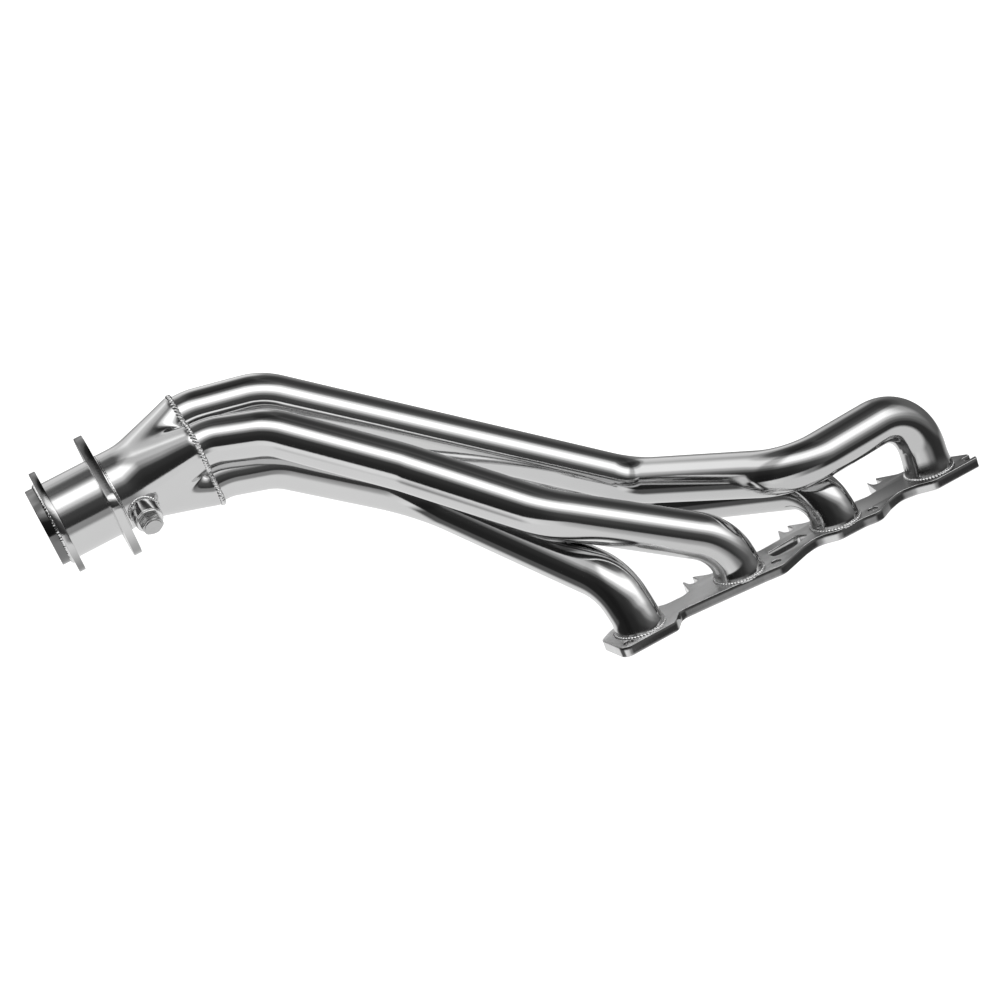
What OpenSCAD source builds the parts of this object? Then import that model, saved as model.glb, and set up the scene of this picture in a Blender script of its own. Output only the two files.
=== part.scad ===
// Long-tube exhaust manifold: four primary tubes from a head flange to a formed four-into-one collector.
// Frame: origin at the middle of the port row on the mating face, +X along the ports towards port 4,
// +Z out of the cylinder head, +Y down beside the engine. Millimetres.

/* [Head flange] */
// Thickness of the head flange
flange_t = 10; // [8:0.5:14]
// Diameter of the round bolt holes
bolt_hole_d = 9.5; // [8.5:0.5:10.5]
// Width of the open bolt slots
bolt_slot_w = 10; // [9:0.5:11]
// Distance from one port centre to the next
port_pitch = 111.76; // [111:0.01:113]

/* [Primary tubes] */
// Outside diameter of each primary tube
tube_od = 44.45; // [44:0.05:44.5]
// Wall thickness of the primary tubes
tube_wall = 1.6; // [1.2:0.1:2.5]
// Radius of the weld beads
bead_r = 3; // [2:0.5:3.5]

/* [Collector and outlet] */
// Heading of the outlet axis, measured from +X towards +Y
outlet_heading = 169.5; // [169:0.5:170]
// Rise of the outlet axis above the mating plane
outlet_rise = -4.5; // [-5:0.5:-4]
// Turn of the four sockets about the outlet axis
collector_turn = 19; // [18:1:20]
// Distance of each socket centre from the outlet axis
socket_offset = 32; // [32:0.1:32.5]
// Wall thickness of the collector
collector_wall = 1.6; // [1.4:0.1:1.8]
// Length of the collector from the tube sockets to the outlet seam
collector_len = 84.5; // [84:0.5:86]
// Outside diameter of the outlet pipe
outlet_od = 76.2; // [76:0.1:76.4]
// Distance from the tube sockets to the open end of the outlet
outlet_end = 157.5; // [154:0.5:167]

/* [Stop ring and loose flange] */
// Outside diameter of the stop ring
stop_od = 102; // [98:1:105]
// Thickness of the stop ring
stop_t = 6.35; // [5:0.05:8]
// Distance from the stop ring to the open end of the outlet
stop_setback = 10.6; // [8:0.2:14]
// Thickness of the loose flange
loose_t = 8; // [6:0.5:9]
// Radial gap between the loose flange and the outlet pipe
loose_gap = 0.4; // [0.35:0.05:0.8]
// Distance from the outlet axis to each bolt of the loose flange
loose_bolt_r = 61; // [60:0.5:62]
// Diameter of the bolt holes in the loose flange
loose_bolt_d = 11; // [9:0.5:12]

/* [Sensor bung] */
// Outside diameter of the sensor bung
bung_od = 27; // [25:0.5:28]
// Bore of the sensor bung, for an M18 thread
bung_bore = 18; // [17:0.5:18.5]
// Turn of the bung about the outlet axis
bung_turn = 61; // [57:1:69]
// Width across the flats of the plug
plug_flats = 19; // [17:0.5:21]

/* [Hidden] */
$fn = 96;

// Gap between a part and the one it is welded into
weld_gap = 0.05;
// Middle of the collector's socket face
collector_at = [-422.5, 256.5, 270.8];
// Depth of the tube sockets in the collector, and height of the tube ends above the mating face
socket_depth = 4;
tube_seat = 3;
tube_r = tube_od / 2;
tube_bore_r = tube_r - tube_wall;
port_x = [for (i = [0:3]) (i - 1.5) * port_pitch];

// Each port's socket in the collector: 0 lowest, 1 nearest, 2 highest, 3 farthest
socket_of_port = [0, 1, 3, 2];

// Bend points of each primary from port to collector, as x, y, z and bend radius
bends = [
    [[port_x[0], 0, 20, 45], [-171, 15, 56, 55], [-245, 209, 147, 90], [-360, 236, 230, 70]],
    [[port_x[1], 0, 44, 52], [-197, 50, 132, 90], [-280, 130, 205, 80], [-367, 196, 273, 60]],
    [[port_x[2], 0, 50, 34], [-32, 190, 38, 60], [-338, 292, 260, 60]],
    [[port_x[3], 0, 80, 48], [18, -20, 82, 50], [-60, 150, 82, 50], [-346, 248, 294, 60]]];
// Radius of the last bend of each primary, which turns it into its socket, and where that bend is
socket_bend_r = 50;
socket_bend_at = -14;
tube_sides = 28;
bend_step = 9;

outlet_r = outlet_od / 2;
outlet_bore_r = outlet_r - collector_wall;
// Where the sockets start to merge, and where they have become one round outlet
merge_start = socket_depth;
merge_end = 64;
spike_tip = 42;
socket_r = tube_r + 2 * weld_gap;

stop_far = outlet_end - stop_setback;
stop_near = stop_far - stop_t;
loose_at = 87.5;
loose_turn = 98;
loose_body_r = 61;
loose_ear_r = 16;

bung_at = 69;
bung_foot = 33;
bung_top = 53;
washer_t = 2;
plug_head_h = 8;

function unit(v) = v / norm(v);
function xyz(p) = [p.x, p.y, p.z];
function mix(a, b, f) = a + (b - a) * f;
function turned(v, n, a) = v * cos(a) + cross(n, v) * sin(a) + n * (n * v) * (1 - cos(a));

// Directions of the outlet axis and of a spoke at angle a about it
function outlet_dir() = [cos(outlet_rise) * cos(outlet_heading), cos(outlet_rise) * sin(outlet_heading),
    sin(outlet_rise)];
function spoke(a) = let (down = [sin(outlet_rise) * cos(outlet_heading), sin(outlet_rise) * sin(outlet_heading),
    -cos(outlet_rise)], side = [-sin(outlet_heading), cos(outlet_heading), 0]) down * cos(a) + side * sin(a);
function socket_at(k, s) = collector_at + socket_offset * spoke(collector_turn + 90 * k) + s * outlet_dir();

// The centreline of primary i: its corner points, the radius at each, and what follows from them
function route(i) = concat([[port_x[i], 0, tube_seat]], [for (b = bends[i]) xyz(b)],
    [socket_at(socket_of_port[i], socket_bend_at), socket_at(socket_of_port[i], socket_depth)]);
function route_radii(i) = concat([0], [for (b = bends[i]) b[3]], [socket_bend_r, 0]);
function bend_angle(p, k) = acos(unit(p[k] - p[k - 1]) * unit(p[k + 1] - p[k]));
function bend_axis(p, k) = unit(cross(p[k] - p[k - 1], p[k + 1] - p[k]));
function bend_start(p, r, k) = p[k] - unit(p[k] - p[k - 1]) * r[k] * tan(bend_angle(p, k) / 2);
// Side vector of the tube after bend k, carried along without twist
function side_after(p, k) = k == 0 ? [1, 0, 0]
    : turned(side_after(p, k - 1), bend_axis(p, k), bend_angle(p, k));

// A ring of points with centre c, tangent t and side vector s
function ring(c, t, s, radius) = [for (j = [0:tube_sides - 1]) let (a = 360 * j / tube_sides)
    c + radius * (s * cos(a) + cross(t, s) * sin(a))];
function bend_rings(p, r, k, radius) = let (
        a = bend_start(p, r, k), t = unit(p[k] - p[k - 1]), n = bend_axis(p, k), s = side_after(p, k - 1),
        hub = a + r[k] * cross(n, t), count = ceil(bend_angle(p, k) / bend_step))
    [for (j = [0:count]) let (q = bend_angle(p, k) * j / count)
        ring(hub - turned(r[k] * cross(n, t), n, q), turned(t, n, q), turned(s, n, q), radius)];
function tube_rings(p, r, radius) = let (last = len(p) - 1) concat(
    [ring(p[0], unit(p[1] - p[0]), side_after(p, 0), radius)],
    [for (k = [1:last - 1]) each bend_rings(p, r, k, radius)],
    [ring(p[last], unit(p[last] - p[last - 1]), side_after(p, last - 1), radius)]);

// A closed wall between two stacks of rings, the outer stack first
module wall_between(outer, inner) {
    m = len(outer[0]);
    n = len(outer);
    half = n * m;
    points = concat([for (q = outer) each q], [for (q = inner) each q]);
    sides = [for (i = [0:n - 2], j = [0:m - 1]) let (k = (j + 1) % m)
        [i * m + j, (i + 1) * m + j, (i + 1) * m + k, i * m + k]];
    inside = [for (q = sides) [half + q[3], half + q[2], half + q[1], half + q[0]]];
    first = [for (j = [0:m - 1]) let (k = (j + 1) % m) [j, k, half + k, half + j]];
    end = (n - 1) * m;
    last = [for (q = first) [end + q[3], end + q[2], end + q[1], end + q[0]]];
    polyhedron(points, concat(sides, inside, first, last));
}

module primary_tube(i) {
    color("gainsboro")
        wall_between(tube_rings(route(i), route_radii(i), tube_r),
                     tube_rings(route(i), route_radii(i), tube_bore_r));
}

// Places its children on the outlet axis, s from the socket face
module on_outlet(s) {
    translate(collector_at) rotate([0, 90 - outlet_rise, outlet_heading]) translate([0, 0, s]) children();
}

// Places its children on a spoke of the outlet at s, with their z axis pointing outwards
module on_spoke(s, a) {
    on_outlet(s) rotate([0, 90, a]) children();
}

module tube_ring(height, r_out, r_in) {
    linear_extrude(height) difference() {
        circle(r_out);
        circle(r_in);
    }
}

// A quarter-round bead on the wall of a tube, standing on z = 0
module fillet_bead(wall_r, size, sweep = 360) {
    rotate_extrude(angle = sweep) translate([wall_r, 0]) intersection() {
        circle(size);
        square(size);
    }
}

module port_weld(i) {
    color("silver") translate([port_x[i], 0, flange_t]) fillet_bead(tube_r + weld_gap, bead_r);
}

// The outline of the head flange as corners with their radius, round from the left end of the near edge
function flange_corners() = [
    [-202, -27.5, 9], [-144, -27.5, 9], [-130, -11, 10], [-100, -16, 60], [-46, -26, 12], [-26, -31, 14],
    [8, -16, 14], [26, -11, 22], [43, -24, 14], [72, -25, 20], [87, -30, 14], [106, -18, 20],
    [123, -11, 20], [140, -17, 16], [154, -28, 12], [206, -28, 3], [206, -10, 2], [197, 2, 8],
    [190, 25, 10], [150, 26, 10], [134, 43, 4], [123, 43, 1.5], [116, 16, 3], [104, 14, 12], [90, 18, 20],
    [80, 26, 10], [41, 28, 12], [29, 43, 4], [17, 43, 1.5], [7, 24, 3], [-16, 23, 20],
    [-33, 26, 10], [-70, 29, 12], [-81, 43, 4], [-94, 43, 1.5], [-101, 19, 3], [-110, 15, 12], [-128, 17, 16],
    [-141, 26, 10], [-186, 25, 14], [-202, 14, 6]];

// An outline with each corner rounded by an arc
function rounded(c) = let (n = len(c)) [for (i = [0:n - 1]) let (
        p = [c[i].x, c[i].y], a = unit([c[(i + n - 1) % n].x, c[(i + n - 1) % n].y] - p),
        b = unit([c[(i + 1) % n].x, c[(i + 1) % n].y] - p), half = acos(a * b) / 2,
        reach = c[i][2] / tan(half), hub = p + unit(a + b) * c[i][2] / sin(half),
        from = p + a * reach - hub, to = p + b * reach - hub, turn = 180 - 2 * half,
        way = sign(from.x * to.y - from.y * to.x), steps = max(2, ceil(turn / 10)))
    for (j = [0:steps]) let (q = way * turn * j / steps)
        hub + [from.x * cos(q) - from.y * sin(q), from.x * sin(q) + from.y * cos(q)]];

bolt_holes = [[-191, -18.5], [-24.5, -17.5], [88, -17.5]];
bolt_slots = [[-87.5, 34.5], [23, 34.5], [128.5, 34.5]];
window_corners = [[-19, -7, 5], [2, -8, 8], [25, 2, 3], [20, 14, 4], [-19, 10, 4]];

module head_flange() {
    color("silver") difference() {
        linear_extrude(flange_t) polygon(rounded(flange_corners()));
        for (x = port_x) translate([x, 0, tube_seat]) cylinder(h = flange_t, r = tube_r + weld_gap);
        for (x = port_x) translate([x, 0, -1]) cylinder(h = flange_t, r = tube_bore_r);
        for (p = bolt_holes) translate([p.x, p.y, -1]) cylinder(h = flange_t + 2, d = bolt_hole_d);
        for (p = bolt_slots) translate([p.x, p.y, -1]) {
            cylinder(h = flange_t + 2, d = bolt_slot_w);
            translate([-bolt_slot_w / 2, 0, 0]) cube([bolt_slot_w, 20, flange_t + 2]);
        }
        translate([199, -18.5, -1]) {
            cylinder(h = flange_t + 2, d = bolt_hole_d);
            translate([0, -bolt_hole_d / 2, 0]) cube([20, bolt_hole_d, flange_t + 2]);
        }
        translate([0, 0, -1]) linear_extrude(flange_t + 2) polygon(rounded(window_corners));
    }
}

// Polar outline of four round lobes that sit c from the middle and have radius r
function lobe_reach(c, r, a) = c * sin(a) < r ? c * cos(a) + sqrt(r * r - c * c * sin(a) * sin(a)) : 0;
function box_reach(c, a) = c * cos(45) / cos(45 - abs(a));
function merge_at(s) = max(0, min(1, (s - merge_start) / (merge_end - merge_start)));
function merge_ring(s, r_socket, r_outlet) = let (f = merge_at(s), c = socket_offset * (1 - f),
        r = mix(r_socket, r_outlet, f))
    [for (j = [0:79]) let (w = j * 4.5, a = abs(((w + 45) % 90) - 45), q = w + collector_turn,
        reach = max(lobe_reach(c, r, a), box_reach(c, a))) [reach * cos(q), reach * sin(q), s]];
merge_stations = [0, socket_depth, 10, 16, 22, 29, 36, 44, 52, 58, merge_end, collector_len];

module bung_cut() {
    on_spoke(bung_at, bung_turn) translate([0, 0, bung_foot - 5])
        cylinder(h = 30, r = bung_od / 2 + weld_gap);
}

// A closed solid through a stack of rings
module solid_between(rings) {
    m = len(rings[0]);
    n = len(rings);
    polyhedron([for (q = rings) each q], concat(
        [for (i = [0:n - 2], j = [0:m - 1]) let (k = (j + 1) % m)
            [i * m + j, (i + 1) * m + j, (i + 1) * m + k, i * m + k]],
        [[for (j = [0:m - 1]) j], [for (j = [0:m - 1]) n * m - 1 - j]]));
}

module collector_body() {
    outer = [for (s = merge_stations) merge_ring(s, socket_r + collector_wall, outlet_r)];
    inner = [for (s = merge_stations) merge_ring(s, socket_r, outlet_bore_r)];
    color("gainsboro") difference() {
        on_outlet(0) wall_between(outer, inner);
        bung_cut();
    }
}

// Half width of the four-pointed gap between the tube ends, at angle a
function gap_reach(a) = let (c = socket_offset, r = socket_r + weld_gap, b = abs(((a + 45) % 90) - 45))
    c * sin(b) < r ? c * cos(b) - sqrt(r * r - c * c * sin(b) * sin(b)) : 14;

module merge_spike() {
    stations = [[0.5, 1], [socket_depth, 1], [spike_tip, 0.08]];
    rings = [for (q = stations) [for (j = [0:39]) let (a = 9 * j, g = q[1] * gap_reach(a))
        [g * cos(a + collector_turn), g * sin(a + collector_turn), q[0]]]];
    color("darkgray") on_outlet(0) solid_between(rings);
}

module collector_weld(i) {
    k = socket_of_port[i];
    reach = 108;
    color("silver") on_outlet(0) rotate(collector_turn + 90 * k) translate([socket_offset, 0, 0])
        rotate([180, 0, 0]) rotate(-reach) fillet_bead(tube_r + weld_gap, 2, 2 * reach);
}

module outlet_pipe() {
    color("gainsboro") on_outlet(collector_len)
        tube_ring(outlet_end - collector_len, outlet_r, outlet_bore_r);
}

module outlet_seam() {
    color("silver") on_outlet(collector_len - 0.6) tube_ring(2.4, outlet_r + 0.25, outlet_r + 0.01);
}

module stop_ring() {
    color("silver") on_outlet(stop_near) tube_ring(stop_t, stop_od / 2, outlet_r + weld_gap);
}

module stop_ring_weld() {
    color("silver") on_outlet(stop_far) fillet_bead(outlet_r + weld_gap, bead_r);
}

// Points of an arc about [x, 0], anticlockwise
function arc_points(x, r, from, to) = let (steps = ceil((to - from) / 3))
    [for (j = [0:steps]) let (q = from + (to - from) * j / steps) [x + r * cos(q), r * sin(q)]];

// Outline of the loose flange: a round body whose straight flanks run out to a rounded bolt ear on each side
function loose_outline() = let (d = loose_bolt_r, a = acos((loose_body_r - loose_ear_r) / d)) concat(
    arc_points(d, loose_ear_r, -a, a), arc_points(0, loose_body_r, a, 180 - a),
    arc_points(-d, loose_ear_r, 180 - a, 180 + a), arc_points(0, loose_body_r, 180 + a, 360 - a));

module loose_flange() {
    color("silver") on_outlet(loose_at) rotate(loose_turn) difference() {
        linear_extrude(loose_t) polygon(loose_outline());
        translate([0, 0, -1]) cylinder(h = loose_t + 2, r = outlet_r + loose_gap);
        for (x = [-loose_bolt_r, loose_bolt_r])
            translate([x, 0, -1]) cylinder(h = loose_t + 2, d = loose_bolt_d);
    }
}

module sensor_bung() {
    color("silver") on_spoke(bung_at, bung_turn) translate([0, 0, bung_foot])
        tube_ring(bung_top - bung_foot, bung_od / 2, bung_bore / 2);
}

module bung_weld() {
    color("silver") on_spoke(bung_at, bung_turn) translate([0, 0, 36]) difference() {
        cylinder(h = 7, r1 = 15.2, r2 = bung_od / 2 + 0.4);
        translate([0, 0, -1]) cylinder(h = 9, r = bung_od / 2 + weld_gap);
    }
}

module plug_washer() {
    color("gray") on_spoke(bung_at, bung_turn) translate([0, 0, bung_top])
        tube_ring(washer_t, bung_od / 2 - 0.3, bung_bore / 2 + 0.2);
}

module bung_plug() {
    seat = bung_top + washer_t;
    color("darkgray") on_spoke(bung_at, bung_turn) {
        translate([0, 0, seat - 14]) cylinder(h = 14, d = bung_bore - 0.1);
        translate([0, 0, seat]) cylinder(h = plug_head_h, d = plug_flats / cos(30), $fn = 6);
        translate([0, 0, seat + plug_head_h]) cylinder(h = 1, d = plug_flats - 2.6);
    }
}

module primary_tube_1() { primary_tube(0); }
module primary_tube_2() { primary_tube(1); }
module primary_tube_3() { primary_tube(2); }
module primary_tube_4() { primary_tube(3); }
module port_weld_1() { port_weld(0); }
module port_weld_2() { port_weld(1); }
module port_weld_3() { port_weld(2); }
module port_weld_4() { port_weld(3); }
module collector_weld_1() { collector_weld(0); }
module collector_weld_2() { collector_weld(1); }
module collector_weld_3() { collector_weld(2); }
module collector_weld_4() { collector_weld(3); }

head_flange();
primary_tube_1();
primary_tube_2();
primary_tube_3();
primary_tube_4();
port_weld_1();
port_weld_2();
port_weld_3();
port_weld_4();
collector_body();
merge_spike();
collector_weld_1();
collector_weld_2();
collector_weld_3();
collector_weld_4();
outlet_pipe();
outlet_seam();
stop_ring();
stop_ring_weld();
loose_flange();
sensor_bung();
bung_weld();
bung_plug();
plug_washer();
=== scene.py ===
import bmesh
import bpy
import math
import numpy as np
from mathutils import Matrix, Vector


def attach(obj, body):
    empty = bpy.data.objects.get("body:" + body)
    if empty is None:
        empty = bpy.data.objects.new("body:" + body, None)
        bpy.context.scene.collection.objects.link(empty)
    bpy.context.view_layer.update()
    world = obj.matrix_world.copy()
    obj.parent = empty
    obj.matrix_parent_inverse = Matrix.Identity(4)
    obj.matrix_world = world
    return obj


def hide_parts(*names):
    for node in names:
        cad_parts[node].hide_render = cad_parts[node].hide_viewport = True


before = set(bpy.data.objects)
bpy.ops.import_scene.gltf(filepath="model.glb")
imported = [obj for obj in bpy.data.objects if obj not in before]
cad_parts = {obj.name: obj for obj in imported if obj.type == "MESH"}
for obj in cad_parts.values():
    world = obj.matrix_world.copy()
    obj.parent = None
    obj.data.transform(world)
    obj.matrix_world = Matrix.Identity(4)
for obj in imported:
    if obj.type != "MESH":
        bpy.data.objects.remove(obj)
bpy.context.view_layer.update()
MM = 0.001
scene = bpy.context.scene


# ---------------------------------------------------------------- centrelines, in millimetres
def unit(v):
    v = np.asarray(v, float)
    return v / np.linalg.norm(v)


def turned(v, n, a):
    """The vector v turned by a about the unit axis n."""
    return v * math.cos(a) + np.cross(n, v) * math.sin(a) + n * (n @ v) * (1 - math.cos(a))


TUBE_R, BORE_R = 22.225, 20.625
TUBE_SEAT, SOCKET_DEPTH = 3.0, 4.0
# The outlet axis: heading from +X, rise, turn of the four sockets about it and their distance from it
HEAD, RISE, TURN, OFFSET = math.radians(169.5), math.radians(-4.5), 19.0, 32.0
AT = np.array([-422.5, 256.5, 270.8])
OUT = np.array([math.cos(RISE) * math.cos(HEAD), math.cos(RISE) * math.sin(HEAD), math.sin(RISE)])
DOWN = np.array([math.sin(RISE) * math.cos(HEAD), math.sin(RISE) * math.sin(HEAD), -math.cos(RISE)])
SIDE = np.array([-math.sin(HEAD), math.cos(HEAD), 0.0])
AXES = np.stack([DOWN, SIDE, OUT])
PORT_PITCH = 111.76
PORT_X = [(i - 1.5) * PORT_PITCH for i in range(4)]
SOCKET_OF_PORT = [0, 1, 3, 2]
SOCKET_BEND_AT, SOCKET_BEND_R = -14, 50
# Bend points of each primary from port to collector, as x, y, z and bend radius
BENDS = [
    [(PORT_X[0], 0, 20, 45), (-171, 15, 56, 55), (-245, 209, 147, 90), (-360, 236, 230, 70)],
    [(PORT_X[1], 0, 44, 52), (-197, 50, 132, 90), (-280, 130, 205, 80), (-367, 196, 273, 60)],
    [(PORT_X[2], 0, 50, 34), (-32, 190, 38, 60), (-338, 292, 260, 60)],
    [(PORT_X[3], 0, 80, 48), (18, -20, 82, 50), (-60, 150, 82, 50), (-346, 248, 294, 60)],
]


def spoke(a):
    """Unit vector square to the outlet axis, a degrees round from straight down."""
    a = math.radians(a)
    return DOWN * math.cos(a) + SIDE * math.sin(a)


def socket_at(k, s):
    """Centre of socket k at s along the outlet axis."""
    return AT + OFFSET * spoke(TURN + 90 * k) + s * OUT


def centreline(i, straight=7.0, turn=2.5):
    """Points, tangents and side vectors along primary i, from its port to its socket."""
    p = [np.array([PORT_X[i], 0, TUBE_SEAT])] + [np.array(b[:3], float) for b in BENDS[i]]
    p += [socket_at(SOCKET_OF_PORT[i], SOCKET_BEND_AT), socket_at(SOCKET_OF_PORT[i], SOCKET_DEPTH)]
    radius = [0] + [b[3] for b in BENDS[i]] + [SOCKET_BEND_R, 0]
    pts, tans, sides = [], [], []
    at, side = p[0], np.array([1.0, 0, 0])

    def run(a, b, t, s):
        n = max(1, int(np.linalg.norm(b - a) / straight))
        for j in range(n):
            pts.append(a + (b - a) * j / n)
            tans.append(t)
            sides.append(s)

    for k in range(1, len(p) - 1):
        t, t2 = unit(p[k] - p[k - 1]), unit(p[k + 1] - p[k])
        angle = math.acos(np.clip(t @ t2, -1, 1))
        n = unit(np.cross(t, t2))
        start = p[k] - t * radius[k] * math.tan(angle / 2)
        run(at, start, t, side)
        hub = start + radius[k] * np.cross(n, t)
        steps = max(2, int(math.degrees(angle) / turn))
        for j in range(steps):
            q = angle * j / steps
            pts.append(hub - turned(radius[k] * np.cross(n, t), n, q))
            tans.append(turned(t, n, q))
            sides.append(turned(side, n, q))
        at, side = hub - turned(radius[k] * np.cross(n, t), n, angle), turned(side, n, angle)
    run(at, p[-1], t2, side)
    pts.append(p[-1])
    tans.append(t2)
    sides.append(side)
    return np.array(pts), np.array(tans), np.array(sides)


# ---------------------------------------------------------------- mesh helpers
def make(name, verts, faces, material, uv=None, matrix=None):
    """A smooth-shaded piece from vertices in millimetres, riding on the manifold."""
    me = bpy.data.meshes.new(name)
    me.from_pydata([tuple(v) for v in np.asarray(verts) * MM], [], faces)
    me.validate()
    if uv is not None:
        layer = me.uv_layers.new(name="UVMap")
        idx = np.zeros(len(me.loops), dtype=np.int32)
        me.loops.foreach_get("vertex_index", idx)
        layer.data.foreach_set("uv", np.asarray(uv, dtype=np.float32)[idx].ravel())
    me.polygons.foreach_set("use_smooth", [True] * len(me.polygons))
    me.materials.append(material)
    me.update()
    ob = bpy.data.objects.new(name, me)
    scene.collection.objects.link(ob)
    if matrix is not None:
        me.transform(matrix)
    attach(ob, "manifold")
    return ob


def sharpen(ob, degrees):
    """Marks edges sharper than this as sharp, so flat faces stay flat beside smooth ones."""
    ob.data.set_sharp_from_angle(angle=math.radians(degrees))


def grid_faces(n, m, flip=False, start=0):
    """Quads between n closed rings of m points."""
    out = []
    for i in range(n - 1):
        for j in range(m):
            k = (j + 1) % m
            q = (start + i * m + j, start + (i + 1) * m + j, start + (i + 1) * m + k, start + i * m + k)
            out.append(q[::-1] if flip else q)
    return out


def last_to_first(n, m):
    """Quads that join the last of n rings of m points to the first."""
    end = (n - 1) * m
    return [(end + j, j, (j + 1) % m, end + (j + 1) % m) for j in range(m)]


def shell_faces(n, m):
    """Faces of a wall between n outer rings of m points and the n inner rings that follow them."""
    faces = grid_faces(n, m, flip=True) + grid_faces(n, m, start=n * m)
    end = (n - 1) * m
    for j in range(m):
        k = (j + 1) % m
        faces.append((k, n * m + k, n * m + j, j))
        faces.append((end + j, n * m + end + j, n * m + end + k, end + k))
    return faces


def line_bore(ob, n, m):
    """Gives the inner quads of a wall made by shell_faces the dull bore metal."""
    ob.data.materials.append(M_BORE)
    index = np.zeros(len(ob.data.polygons), dtype=np.int32)
    index[(n - 1) * m:2 * (n - 1) * m] = 1
    ob.data.polygons.foreach_set("material_index", index)


def lathe(profile, sides):
    """Vertices and faces of a closed profile of (radius, height) turned about +Z, outside anticlockwise."""
    ang = np.arange(sides) * 2 * math.pi / sides
    prof = np.array(profile, float)
    verts = np.stack([prof[:, 0, None] * np.cos(ang), prof[:, 0, None] * np.sin(ang),
                      np.repeat(prof[:, 1, None], sides, 1)], -1).reshape(-1, 3)
    faces = grid_faces(len(prof), sides) + last_to_first(len(prof), sides)
    return verts, [f[::-1] for f in faces]


def frame_matrix(x, y, z, s):
    """A local frame with the axes x, y and z, at s along the outlet axis from the socket face."""
    at = (AT + s * OUT) * MM
    return Matrix([(x[i], y[i], z[i], at[i]) for i in range(3)] + [(0, 0, 0, 1)])


def outlet_matrix(s):
    """Local +Z along the outlet, local +X down."""
    return frame_matrix(DOWN, SIDE, OUT, s)


def spoke_matrix(s, a):
    """Local +Z outwards along the spoke at angle a."""
    z = spoke(a)
    return frame_matrix(OUT, np.cross(z, OUT), z, s)


def bead(name, node, path, normal, radius, pitch, closed=True, squash=1.0, lean=0.5, rise=0.16, sides=14,
         step=0.3):
    """A weld bead of overlapping round ripples along a path; normal is the direction its crown faces."""
    path, normal = np.asarray(path, float), np.asarray(normal, float)
    if closed:
        path = np.vstack([path, path[:1]])
        normal = np.vstack([normal, normal[:1]])
    length = np.r_[0, np.cumsum(np.linalg.norm(np.diff(path, axis=0), axis=1))]
    count = max(3, int(round(length[-1] / pitch)))
    pitch = length[-1] / count
    n = max(24, int(length[-1] / step))
    s = np.linspace(0, length[-1], n, endpoint=not closed)
    pts = np.stack([np.interp(s, length, path[:, j]) for j in range(3)], -1)
    nor = np.stack([np.interp(s, length, normal[:, j]) for j in range(3)], -1)
    tan = np.roll(pts, -1, 0) - np.roll(pts, 1, 0) if closed else np.gradient(pts, axis=0)
    tan /= np.linalg.norm(tan, axis=1)[:, None]
    nor -= (nor * tan).sum(1)[:, None] * tan
    nor /= np.linalg.norm(nor, axis=1)[:, None]
    bi = np.cross(tan, nor)
    phi = np.arange(sides) * 2 * math.pi / sides
    up, across = np.cos(phi), np.sin(phi)
    phase = (s[:, None] / pitch + lean * (1 - across[None] ** 2)) % 1.0
    rip = (1 - rise) + rise * np.sqrt(np.clip(1 - (2 * phase - 1) ** 2, 0, 1))
    wander = 1 + 0.05 * np.sin(s * 0.71 + 1.3) + 0.04 * np.sin(s * 1.93)
    fade = np.ones(n)
    if not closed:
        edge = np.minimum(s, s[-1] - s) / (1.5 * radius)
        fade = np.sqrt(np.clip(1 - (1 - np.clip(edge, 0, 1)) ** 2, 0.0004, 1))
    r = radius * rip * (wander * fade)[:, None]
    lift = nor[:, None] * (r * up)[..., None] * squash
    verts = pts[:, None] + lift + bi[:, None] * (r * across)[..., None]
    faces = grid_faces(n, sides)
    if closed:
        faces += last_to_first(n, sides)
    else:
        faces.append(tuple(range(sides)))
        faces.append(tuple((n - 1) * sides + j for j in reversed(range(sides))))
    ob = make(name, verts.reshape(-1, 3), [f[::-1] for f in faces], M_WELD)
    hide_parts(node)


def plate(name, loops, thick, edge, face_mat, side_mat, body="manifold", matrix=None):
    """A flat plate with eased edges from closed outlines in millimetres, its lower face on z = 0."""
    cu = bpy.data.curves.new(name, "CURVE")
    cu.dimensions = "2D"
    cu.fill_mode = "BOTH"
    for loop in loops:
        sp = cu.splines.new("POLY")
        sp.points.add(len(loop) - 1)
        for pt, q in zip(sp.points, loop):
            pt.co = (q[0] * MM, q[1] * MM, 0, 1)
        sp.use_cyclic_u = True
    cu.extrude = (thick / 2 - edge) * MM
    cu.bevel_depth = edge * MM
    cu.bevel_resolution = 2
    cu.offset = -edge * MM
    tmp = bpy.data.objects.new(name + "_curve", cu)
    scene.collection.objects.link(tmp)
    bpy.context.view_layer.update()
    me = bpy.data.meshes.new_from_object(tmp.evaluated_get(bpy.context.evaluated_depsgraph_get()))
    bpy.data.objects.remove(tmp)
    me.name = name
    bm = bmesh.new()
    bm.from_mesh(me)
    bmesh.ops.remove_doubles(bm, verts=bm.verts, dist=2e-6)
    bmesh.ops.recalc_face_normals(bm, faces=bm.faces)
    bm.to_mesh(me)
    bm.free()
    me.transform(Matrix.Translation((0, 0, thick / 2 * MM)))
    me.materials.clear()
    me.materials.append(face_mat)
    me.materials.append(side_mat)
    for p in me.polygons:
        p.material_index = 0 if abs(p.normal.z) > 0.95 else 1
        p.use_smooth = True
    me.set_sharp_from_angle(angle=math.radians(50))
    if matrix is not None:
        me.transform(matrix)
    ob = bpy.data.objects.new(name, me)
    scene.collection.objects.link(ob)
    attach(ob, body)
    return ob


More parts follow.
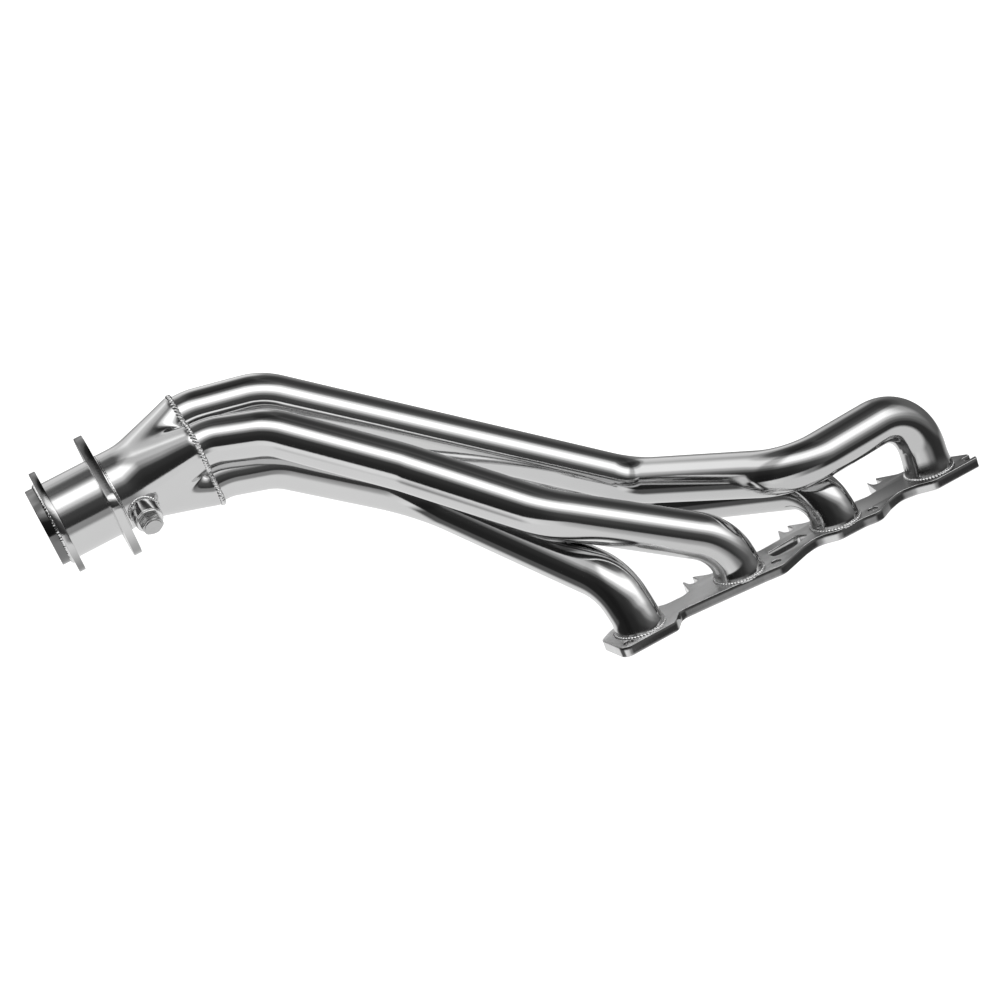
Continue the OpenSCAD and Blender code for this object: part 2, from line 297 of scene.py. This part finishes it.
# ---------------------------------------------------------------- materials
def metal(name, color, rough, rough_var, scale, bump, bump_scale, color_var=0.06, stretch=(1, 1, 1),
          wave=0.0, wave_scale=16, fade=()):
    """Bare metal whose colour, gloss and fine surface vary; fade darkens it along an axis, in metres."""
    mat = bpy.data.materials.new(name)
    mat.use_nodes = True
    nt = mat.node_tree
    nt.nodes.clear()
    out = nt.nodes.new("ShaderNodeOutputMaterial")
    bsdf = nt.nodes.new("ShaderNodeBsdfPrincipled")
    nt.links.new(bsdf.outputs[0], out.inputs[0])
    bsdf.inputs["Metallic"].default_value = 1.0
    co = nt.nodes.new("ShaderNodeTexCoord")
    mp = nt.nodes.new("ShaderNodeMapping")
    mp.inputs["Scale"].default_value = stretch
    nt.links.new(co.outputs["Object"], mp.inputs["Vector"])
    big = nt.nodes.new("ShaderNodeTexNoise")
    big.inputs["Scale"].default_value = scale
    big.inputs["Detail"].default_value = 4
    nt.links.new(mp.outputs[0], big.inputs["Vector"])
    col = nt.nodes.new("ShaderNodeValToRGB")
    lo, hi = color * (1 - color_var), min(1.0, color * (1 + color_var))
    col.color_ramp.elements[0].color = (lo, lo, lo, 1)
    col.color_ramp.elements[1].color = (hi, hi, hi, 1)
    nt.links.new(big.outputs["Fac"], col.inputs["Fac"])
    shade = col.outputs[0]
    # Each fade entry is painted shade: it darkens the base colour smoothly along one axis, standing in for
    # darker reflections there.
    for axis, start, end, low in fade:
        xyz = nt.nodes.new("ShaderNodeSeparateXYZ")
        nt.links.new(co.outputs["Object"], xyz.inputs[0])
        dim = nt.nodes.new("ShaderNodeMapRange")
        dim.interpolation_type = "SMOOTHSTEP"
        dim.inputs["From Min"].default_value = start
        dim.inputs["From Max"].default_value = end
        dim.inputs["To Min"].default_value = 1.0
        dim.inputs["To Max"].default_value = low
        nt.links.new(xyz.outputs[axis], dim.inputs["Value"])
        mul = nt.nodes.new("ShaderNodeVectorMath")
        mul.operation = "MULTIPLY"
        nt.links.new(shade, mul.inputs[0])
        nt.links.new(dim.outputs[0], mul.inputs[1])
        shade = mul.outputs[0]
    nt.links.new(shade, bsdf.inputs["Base Color"])
    fine = nt.nodes.new("ShaderNodeTexNoise")
    fine.inputs["Scale"].default_value = bump_scale
    fine.inputs["Detail"].default_value = 6
    nt.links.new(mp.outputs[0], fine.inputs["Vector"])
    rr = nt.nodes.new("ShaderNodeMapRange")
    rr.inputs["From Min"].default_value = 0.3
    rr.inputs["From Max"].default_value = 0.7
    rr.inputs["To Min"].default_value = max(0.01, rough - rough_var)
    rr.inputs["To Max"].default_value = rough + rough_var
    nt.links.new(fine.outputs["Fac"], rr.inputs["Value"])
    nt.links.new(rr.outputs[0], bsdf.inputs["Roughness"])
    bmp = nt.nodes.new("ShaderNodeBump")
    bmp.inputs["Strength"].default_value = bump
    bmp.inputs["Distance"].default_value = 0.0005
    if wave:
        slow = nt.nodes.new("ShaderNodeTexNoise")
        slow.inputs["Scale"].default_value = wave_scale
        slow.inputs["Detail"].default_value = 1
        nt.links.new(co.outputs["Object"], slow.inputs["Vector"])
        b2 = nt.nodes.new("ShaderNodeBump")
        b2.inputs["Strength"].default_value = wave
        b2.inputs["Distance"].default_value = 0.002
        nt.links.new(slow.outputs["Fac"], b2.inputs["Height"])
        nt.links.new(b2.outputs[0], bmp.inputs["Normal"])
    nt.links.new(fine.outputs["Fac"], bmp.inputs["Height"])
    nt.links.new(bmp.outputs[0], bsdf.inputs["Normal"])
    return mat


# Painted shade: the tubes' colour darkens towards +X, standing in for the darker reflections on the
# right-hand tubes.
M_TUBE = metal("polished_tube", 0.70, 0.09, 0.03, scale=25, bump=0.02, bump_scale=900, color_var=0.03,
               wave=0.035, wave_scale=14, fade=(("X", -0.32, 0.06, 0.85),))
M_COLL = metal("polished_collector", 0.68, 0.1, 0.03, scale=25, bump=0.03, bump_scale=900, color_var=0.04,
               wave=0.05)
# Painted shade: the outlet's open end is darkened to 30%, standing in for the dark reflections on it.
M_OUT = metal("polished_outlet", 0.68, 0.09, 0.03, scale=25, bump=0.03, bump_scale=900, color_var=0.04,
              wave=0.03, fade=(("X", -0.5655, -0.569, 0.3),))
# Painted shade: the flange's flat faces darken towards +X, standing in for the darker reflections on its
# top there.
M_FLANGE = metal("flange_face", 0.92, 0.36, 0.05, scale=40, bump=0.05, bump_scale=500, stretch=(1, 6, 1),
                 fade=(("X", -0.06, 0.14, 0.2),))
M_CUT = metal("flange_cut_edge", 0.7, 0.1, 0.03, scale=60, bump=0.06, bump_scale=300, stretch=(4, 4, 0.5),
              color_var=0.1)
# Painted shade: the stop ring darkens towards its lower and upper parts along Z, standing in for dark
# reflections on its rim.
M_RING = metal("ring_steel", 0.68, 0.09, 0.04, scale=50, bump=0.12, bump_scale=700,
               fade=(("Z", 0.250, 0.215, 0.3), ("Z", 0.28, 0.305, 0.2)))
# Painted shade: the loose flange darkens towards its lower and upper parts along Z, standing in for dark
# reflections on its rim.
M_LOOSE = metal("loose_plate", 0.68, 0.1, 0.04, scale=50, bump=0.15, bump_scale=500,
                fade=(("Z", 0.245, 0.208, 0.4), ("Z", 0.28, 0.315, 0.2)))
M_WELD = metal("weld_metal", 0.78, 0.08, 0.04, scale=120, bump=0.15, bump_scale=1500, color_var=0.14)
M_BUNG = metal("bung_steel", 0.66, 0.12, 0.04, scale=80, bump=0.12, bump_scale=900)
M_PLUG = metal("plug_steel", 0.55, 0.2, 0.06, scale=80, bump=0.18, bump_scale=900, color_var=0.1)
M_WASH = metal("washer_steel", 0.78, 0.14, 0.04, scale=80, bump=0.15, bump_scale=900, color_var=0.08)
M_BORE = metal("bore_steel", 0.42, 0.38, 0.08, scale=40, bump=0.2, bump_scale=500, color_var=0.12)


# ---------------------------------------------------------------- primary tubes
def smooth(x):
    """Eases from 0 to 1 as x goes from 0 to 1."""
    x = np.clip(x, 0, 1)
    return x * x * (3 - 2 * x)


def tube(i):
    """Primary i: a thin wall swept along its centreline, wider where it is welded to the flange."""
    pts, tans, sides = centreline(i)
    m = 72
    ang = np.arange(m) * 2 * math.pi / m
    along = np.r_[0, np.cumsum(np.linalg.norm(np.diff(pts, axis=0), axis=1))]
    other = np.cross(tans, sides)
    grow = 1.3 * (1 - smooth((along - 8) / 14))
    r_out = TUBE_R + grow
    around = np.cos(ang)[None, :, None] * sides[:, None] + np.sin(ang)[None, :, None] * other[:, None]
    outer = pts[:, None] + r_out[:, None, None] * around
    inner = pts[:, None] + (BORE_R + 0.03) * around
    n = len(pts)
    verts = np.vstack([outer.reshape(-1, 3), inner.reshape(-1, 3)])
    u = np.tile(ang * TUBE_R * MM, n)
    v = np.repeat(along * MM, m)
    uv = np.stack([np.r_[u, u], np.r_[v, v]], -1)
    ob = make(f"primary_{i + 1}", verts, shell_faces(n, m), M_TUBE, uv=uv)
    line_bore(ob, n, m)
    sharpen(ob, 50)
    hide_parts(f"primary_tube_{i + 1}")


for i in range(4):
    tube(i)


# ---------------------------------------------------------------- collector
SOCKET_R, WALL, PIPE_R = TUBE_R + 0.1, 1.6, 38.1
MERGE, COLLECTOR_END = 60.0, 84.5


def merge_reach(s, a, r_socket, r_outlet, soften=1.0):
    """Distance of the collector's skin from its axis at s, for angles a in degrees."""
    f = max(0.0, (s - SOCKET_DEPTH) / MERGE)
    if f > 0.85:
        f = 1 - max(0.0, 1.15 - f) ** 2 / 0.6
    c, r = OFFSET * (1 - f), r_socket + (r_outlet - r_socket) * f
    w = np.radians(np.abs((a - TURN + 45) % 90 - 45))
    inside = c * np.sin(w) < r
    lobe = np.where(inside, c * np.cos(w) + np.sqrt(np.clip(r * r - (c * np.sin(w)) ** 2, 0, None)), 0)
    flat = c * math.cos(math.pi / 4) / np.cos(math.pi / 4 - w)
    reach = np.maximum(lobe, flat)
    width = soften * (1.6 + 5.5 * smooth((s + 2) / 34)) * len(a) / 360
    k = np.arange(-40, 41)
    g = np.exp(-0.5 * (k / width) ** 2)
    g /= g.sum()
    return sum(w_ * np.roll(reach, int(j)) for j, w_ in zip(k, g))


def collector():
    """The formed shell from the four sockets to the round outlet."""
    m = 288
    a = np.arange(m) * 360 / m
    st = np.r_[np.array([0, 0.25, 0.8]), np.linspace(2, COLLECTOR_END, 58)]
    rings_o, rings_i = [], []
    for s in st:
        r = merge_reach(s, a, SOCKET_R + WALL, PIPE_R)
        if s < 0.8:
            r = r - 0.45 * (1 - s / 0.8) ** 2
        rings_o.append((r, s))
        rings_i.append((merge_reach(s, a, SOCKET_R, PIPE_R - WALL, 0.6), s))
    c, sn = np.cos(np.radians(a)), np.sin(np.radians(a))

    def pts(rings):
        rows = np.array([[r * c, r * sn, np.full(m, s)] for r, s in rings])
        return rows.transpose(0, 2, 1).reshape(-1, 3)

    verts = np.vstack([pts(rings_o), pts(rings_i)])
    ob = make("collector_skin", verts, shell_faces(len(st), m), M_COLL,
              matrix=outlet_matrix(0))
    line_bore(ob, len(st), m)
    sharpen(ob, 60)
    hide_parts("collector_body")


collector()

# ---------------------------------------------------------------- outlet pipe, stop ring, loose flange
END = 157.5
PIPE_BORE = PIPE_R - WALL
v, f = lathe([(PIPE_BORE, COLLECTOR_END), (PIPE_R, COLLECTOR_END), (PIPE_R, 100), (PIPE_R, 120),
              (PIPE_R, 140), (PIPE_R, END - 0.7), (37.9, END - 0.2), (37.4, END), (36.9, END),
              (36.6, END - 0.3), (PIPE_BORE, END - 0.8), (PIPE_BORE, 130), (PIPE_BORE, 100)], 192)
pipe = make("outlet", v, f, M_OUT, matrix=outlet_matrix(0))
sharpen(pipe, 40)
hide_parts("outlet_pipe")

NEAR, FAR, RING_R = 140.55, 146.9, 51.0
v, f = lathe([(38.12, NEAR), (RING_R - 0.7, NEAR), (RING_R - 0.2, NEAR + 0.2), (RING_R, NEAR + 0.7),
              (RING_R, FAR - 0.7), (RING_R - 0.2, FAR - 0.2), (RING_R - 0.7, FAR), (38.12, FAR)], 256)
stop = make("stop_ring_disc", v, f, M_RING, matrix=outlet_matrix(0))
sharpen(stop, 30)
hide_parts("stop_ring")


def circle(x, y, r, n):
    """Points round a circle."""
    angles = [2 * math.pi * j / n for j in range(n)]
    return [(x + r * math.cos(q), y + r * math.sin(q)) for q in angles]


def arc(x, r, a, b, step=1.5):
    """Points from a to b degrees round a centre on the X axis."""
    n = max(2, int((b - a) / step))
    angles = [math.radians(a + (b - a) * j / n) for j in range(n + 1)]
    return [(x + r * math.cos(q), r * math.sin(q)) for q in angles]


# Loose flange: radius of its ears and body, distance of its bolts, its place and turn on the outlet
EAR, BODY, BOLT, BOLT_HOLE = 16.0, 61.0, 61.0, 5.5
LOOSE_AT, LOOSE_TURN, LOOSE_T = 87.5, 98, 8
t0 = math.degrees(math.acos((BODY - EAR) / BOLT))
outline = arc(BOLT, EAR, -t0, t0) + arc(0, BODY, t0, 180 - t0) + arc(-BOLT, EAR, 180 - t0, 180 + t0)
outline += arc(0, BODY, 180 + t0, 360 - t0)
holes = [circle(0, 0, 38.5, 160), circle(BOLT, 0, BOLT_HOLE, 48), circle(-BOLT, 0, BOLT_HOLE, 48)]
loose = plate("loose_flange_plate", [outline] + holes, LOOSE_T, 0.6, M_LOOSE, M_LOOSE,
              body="outlet_flange",
              matrix=outlet_matrix(LOOSE_AT) @ Matrix.Rotation(math.radians(LOOSE_TURN), 4, "Z"))
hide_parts("loose_flange")


# ---------------------------------------------------------------- head flange
def face_loops(ob, z):
    """Boundary loops of the flat face of a CAD node that lies at height z, in millimetres."""
    me = ob.data
    co = [v.co.copy() for v in me.vertices]
    key = [(round(c.x * 1e6), round(c.y * 1e6), round(c.z * 1e6)) for c in co]
    seen = {}
    for p in me.polygons:
        if abs(abs(p.normal.z) - 1) < 1e-3 and abs(p.center.z - z * MM) < 1e-5:
            vs = list(p.vertices)
            for a, b in zip(vs, vs[1:] + vs[:1]):
                seen[(key[a], key[b])] = True
    edges = {a: b for (a, b) in seen if (b, a) not in seen}
    loops = []
    while edges:
        a0, b = next(iter(edges.items()))
        loop = [a0]
        del edges[a0]
        while b != a0 and b in edges:
            loop.append(b)
            b = edges.pop(b)
        loops.append([(q[0] / 1000, q[1] / 1000) for q in loop])
    return loops


def roundness(loop):
    """Centre, mean radius and spread of radius of a loop."""
    p = np.array(loop)
    c = (p.min(0) + p.max(0)) / 2
    r = np.linalg.norm(p - c, axis=1)
    return c, r.mean(), r.std()


FLANGE_T = 10
clean = []
for loop in face_loops(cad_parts["head_flange"], 0.0):
    c, r, dev = roundness(loop)
    clean.append(circle(c[0], c[1], r, 120 if r > 10 else 48) if dev < 0.15 else loop)
head = plate("head_flange_plate", clean, FLANGE_T, 0.6, M_FLANGE, M_CUT)
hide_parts("head_flange")


# ---------------------------------------------------------------- weld beads
def ring(middle, r, a, height, tilt):
    """Points at height round a middle, and crown directions that lean by tilt along the third axis."""
    c, sn, n = np.cos(a), np.sin(a), len(a)
    points = np.stack([middle[0] + r * c, middle[1] + r * sn, np.full(n, float(height))], -1)
    return points, np.stack([c, sn, np.full(n, float(tilt))], -1)


def full_turn(n):
    """Angles all the way round, in n steps."""
    return np.linspace(0, 2 * math.pi, n, endpoint=False)


for i in range(4):
    path, nor = ring((PORT_X[i], 0), TUBE_R + 1.1, full_turn(180), FLANGE_T, 1)
    bead(f"port_bead_{i + 1}", f"port_weld_{i + 1}", path, nor, 2.1, 3.0, rise=0.5)

for i in range(4):
    mid = math.radians(TURN + 90 * SOCKET_OF_PORT[i])
    middle = OFFSET * np.array([math.cos(mid), math.sin(mid)])
    path, nor = ring(middle, TUBE_R + 1.0, mid + np.radians(np.linspace(-110, 110, 120)), -0.2, -0.5)
    bead(f"collector_bead_{i + 1}", f"collector_weld_{i + 1}", AT + path @ AXES, nor @ AXES, 2.7, 3.4,
         closed=False, rise=0.6)

SEAM_R, SEAM_AT = 37.75, 84.9
path, nor = ring((0, 0), SEAM_R, full_turn(240), SEAM_AT, 0)
bead("seam_bead", "outlet_seam", AT + path @ AXES, nor @ AXES, 1.25, 1.6, squash=0.55)
path, nor = ring((0, 0), PIPE_R, full_turn(240), FAR, 1)
bead("ring_bead", "stop_ring_weld", AT + path @ AXES, nor @ AXES, 2.8, 2.3)

# ---------------------------------------------------------------- sensor bung, its weld, washer and plug
# Place along the outlet, turn about it, and heights of the sleeve's foot and top above the outlet axis
S_BUNG, A_BUNG, FOOT, TOP = 69.0, 61.0, 33.0, 53.0
WELD_R, WASHER_T = 13.6, 2.0
v, f = lathe([(9.0, FOOT), (13.0, FOOT), (13.5, FOOT + 0.5), (13.5, TOP - 1.0), (13.2, TOP - 0.3),
              (12.6, TOP), (9.8, TOP), (9.0, TOP - 0.8)], 96)
ob = make("bung_sleeve", v, f, M_BUNG, matrix=spoke_matrix(S_BUNG, A_BUNG))
sharpen(ob, 30)
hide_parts("sensor_bung")

aa = np.arange(720) * 0.5
SKIN = {s: merge_reach(s, aa, SOCKET_R + WALL, PIPE_R) for s in np.arange(50, 95, 1.0)}


def skin_at(s, a):
    """Distance of the collector's skin from the outlet axis at s and a degrees."""
    s0 = math.floor(s)
    f = s - s0
    r0 = np.interp(a % 360, aa, SKIN[s0], period=360)
    r1 = np.interp(a % 360, aa, SKIN[s0 + 1], period=360)
    return r0 * (1 - f) + r1 * f


def bung_weld():
    """The bead where the bung's sleeve meets the collector's skin."""
    crown = spoke(A_BUNG)
    across = np.cross(crown, OUT)
    path, nor = [], []
    for q in full_turn(120):
        rad = math.cos(q) * OUT + math.sin(q) * across
        h = PIPE_R - 0.1
        for _ in range(12):
            at = WELD_R * rad + h * crown
            x, y = at @ DOWN, at @ SIDE
            h += skin_at(S_BUNG + WELD_R * math.cos(q), math.degrees(math.atan2(y, x))) - math.hypot(x, y)
        path.append(AT + S_BUNG * OUT + WELD_R * rad + h * crown)
        nor.append(rad + crown)
    bead("bung_bead", "bung_weld", path, nor, 1.8, 2.4, rise=0.4)


bung_weld()

v, f = lathe([(9.3, TOP), (12.6, TOP), (13.1, TOP + 0.5), (13.2, TOP + 1.0), (13.1, TOP + 1.5),
              (12.6, TOP + WASHER_T), (9.3, TOP + WASHER_T)], 96)
ob = make("crush_washer", v, f, M_WASH, matrix=spoke_matrix(S_BUNG, A_BUNG))
sharpen(ob, 40)
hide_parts("plug_washer")


def hex_plug():
    """The plug: a plain shank and a hexagonal head with a chamfer and a low round boss on top."""
    flats, tall, chamfer, shank = 19.0, 8.0, math.radians(28), 13.9
    seat, m = TOP + WASHER_T, 180
    top, half, slope = seat + tall, flats / 2, math.tan(chamfer)
    a = np.arange(m) * 2 * math.pi / m
    w = np.abs((np.degrees(a) + 30) % 60 - 30)
    corner = half / math.cos(math.radians(30)) - 0.35 - 0.02 * np.clip(w - 25, 0, 5) ** 2
    hexr = np.minimum(half / np.cos(np.radians(w)), corner)
    disc = half * 0.95
    drop = (hexr - disc) * slope
    prof = [(8.9, seat - shank), (8.9, seat + 0.05), (hexr - 0.5, seat + 0.05), (hexr, seat + 0.5),
            (hexr, top - drop - 0.25), (hexr - 0.25, top - drop)]
    for q in (0.75, 0.5, 0.25, 0.0):
        r = disc + (hexr - 0.25 - disc) * q
        prof.append((r, top - (r - disc) * slope))
    prof += [(half - 1.2, top), (half - 1.3, top + 0.5), (half - 1.7, top + 0.85), (half - 2.4, top + 1.0),
             (3.0, top + 1.0)]
    verts = np.array([[r * np.cos(a), r * np.sin(a), z + 0 * a] for r, z in prof])
    faces = grid_faces(len(prof), m, flip=True)
    faces.append(tuple((len(prof) - 1) * m + j for j in range(m)))
    faces.append(tuple(reversed(range(m))))
    turn = Matrix.Rotation(math.radians(10), 4, "Z")
    ob = make("hex_plug", verts.transpose(0, 2, 1).reshape(-1, 3), faces, M_PLUG,
              matrix=spoke_matrix(S_BUNG, A_BUNG) @ turn)
    sharpen(ob, 28)
    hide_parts("bung_plug")


hex_plug()

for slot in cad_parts["merge_spike"].material_slots:
    slot.material = M_BORE

# ---------------------------------------------------------------- studio
cam_data = bpy.data.cameras.new("camera")
cam = bpy.data.objects.new("camera", cam_data)
scene.collection.objects.link(cam)
right = Vector((0.837, -0.437, -0.329))
back = Vector((-0.338, -0.886, 0.317)).normalized()
right = (right - back * right.dot(back)).normalized()
up = back.cross(right)
view = Matrix((right, up, back)).transposed().to_4x4()
view.translation = (-1.092, -2.200, 0.968)
cam.matrix_world = view
cam_data.sensor_width = 36
cam_data.lens = 101.35
cam_data.clip_end = 100
scene.camera = cam

floor_me = bpy.data.meshes.new("floor")
FLOOR_HALF, FLOOR_Z = 30.0, -0.0006
corners = [(x * FLOOR_HALF, y * FLOOR_HALF, FLOOR_Z) for x, y in ((-1, -1), (1, -1), (1, 1), (-1, 1))]
floor_me.from_pydata(corners, [], [(0, 1, 2, 3)])
floor = bpy.data.objects.new("floor", floor_me)
scene.collection.objects.link(floor)
floor_mat = bpy.data.materials.new("floor")
floor_mat.use_nodes = True
shader = floor_mat.node_tree.nodes["Principled BSDF"]
shader.inputs["Base Color"].default_value = (0.5, 0.5, 0.5, 1)
shader.inputs["Roughness"].default_value = 0.9
shader.inputs["Emission Color"].default_value = (1, 1, 1, 1)
shader.inputs["Emission Strength"].default_value = 0.95
floor_me.materials.append(floor_mat)
floor.visible_glossy = False

# The studio round the object: long soft boxes above the viewer, dark walls between them, and a pale table
world = bpy.data.worlds.new("studio")
scene.world = world
world.use_nodes = True
nt = world.node_tree
nt.nodes.clear()
sky_out = nt.nodes.new("ShaderNodeOutputWorld")
ray = nt.nodes.new("ShaderNodeTexCoord")


def dot(vec):
    """How far the ray's direction goes along vec."""
    n = nt.nodes.new("ShaderNodeVectorMath")
    n.operation = "DOT_PRODUCT"
    nt.links.new(ray.outputs["Generated"], n.inputs[0])
    n.inputs[1].default_value = tuple(float(c) for c in vec)
    return n.outputs["Value"]


def calc(op, a, b, c=0.0):
    """A maths node on sockets or plain numbers."""
    n = nt.nodes.new("ShaderNodeMath")
    n.operation = op
    for sock, val in zip(n.inputs, (a, b, c)):
        if isinstance(val, (int, float)):
            sock.default_value = val
        else:
            nt.links.new(val, sock)
    return n.outputs[0]


def ramp(value, limit, stops, top=2.0):
    """A smooth curve of brightness over value, -limit to limit, through stops of (value, brightness)."""
    n = nt.nodes.new("ShaderNodeValToRGB")
    n.color_ramp.interpolation = "EASE"
    el = n.color_ramp.elements
    while len(el) < len(stops):
        el.new(0.5)
    for e, (v, bright) in zip(el, stops):
        e.position = (v + limit) / (2 * limit)
        e.color = (bright / top, bright / top, bright / top, 1)
    nt.links.new(calc("DIVIDE", calc("ADD", value, limit), 2 * limit), n.inputs["Fac"])
    return calc("MULTIPLY", n.outputs[0], top)


DEGREE = math.pi / 180
height = calc("DIVIDE", calc("ARCSINE", dot(up), 0), DEGREE)
turn = calc("DIVIDE", calc("ARCTAN2", dot(right), dot(back)), DEGREE)
boxes = ramp(height, 90, [(-90, 0), (4, 0.02), (12, 0.22), (22, 0.8), (31, 1.6), (46, 1.6), (54, 0.9),
                          (63, 0.14), (74, 0.03)])
spread = ramp(turn, 180, [(-180, 0.12), (-168, 0.5), (-140, 0.45), (-112, 0.75), (-66, 0.75), (-54, 0.4),
                          (-42, 0.42), (-24, 1.0), (56, 1.0), (90, 0.3), (112, 0.06), (165, 0.05),
                          (180, 0.12)])
walls = ramp(turn, 180, [(-180, 0.1), (-120, 0.03), (-75, 0.015), (-10, 0.018), (20, 0.04), (60, 0.08),
                         (100, 0.07), (150, 0.06), (180, 0.1)])
glow = ramp(height, 90, [(-90, 1), (-30, 0.6), (-18, 0.6), (-4, 1.2), (10, 2.0), (30, 1.4), (60, 0.8),
                         (90, 0.8)])
room = calc("ADD", calc("MULTIPLY", boxes, spread), calc("MULTIPLY", walls, glow))
# The table's far edge is patchy round the object, and its near part is evenly pale
side = calc("DIVIDE", calc("ARCTAN2", dot((1, 0, 0)), dot((0, -1, 0))), DEGREE)
table = ramp(side, 180, [(-180, 0.9), (-152, 0.9), (-128, 0.12), (-92, 0.1), (-64, 0.95), (-36, 0.85),
                         (-2, 0.3), (26, 0.04), (75, 0.05), (112, 0.5), (140, 0.9), (180, 0.9)])
deep = ramp(dot((0, 0, 1)), 1, [(-1, 1), (-0.66, 1), (-0.5, 0), (1, 0)])
table = calc("MULTIPLY_ADD", deep, calc("SUBTRACT", 0.86, table), table)
edge = ramp(dot((0, 0, 1)), 1, [(-1, 1), (-0.3, 1), (-0.22, 0), (1, 0)])
sky = calc("MULTIPLY_ADD", edge, calc("SUBTRACT", table, room), room)
room_light = nt.nodes.new("ShaderNodeBackground")
nt.links.new(sky, room_light.inputs["Color"])
backdrop = nt.nodes.new("ShaderNodeBackground")
backdrop.inputs["Color"].default_value = (1, 1, 1, 1)
path = nt.nodes.new("ShaderNodeLightPath")
mix = nt.nodes.new("ShaderNodeMixShader")
nt.links.new(path.outputs["Is Camera Ray"], mix.inputs[0])
nt.links.new(room_light.outputs[0], mix.inputs[1])
nt.links.new(backdrop.outputs[0], mix.inputs[2])
nt.links.new(mix.outputs[0], sky_out.inputs[0])

scene.view_settings.view_transform = "Standard"
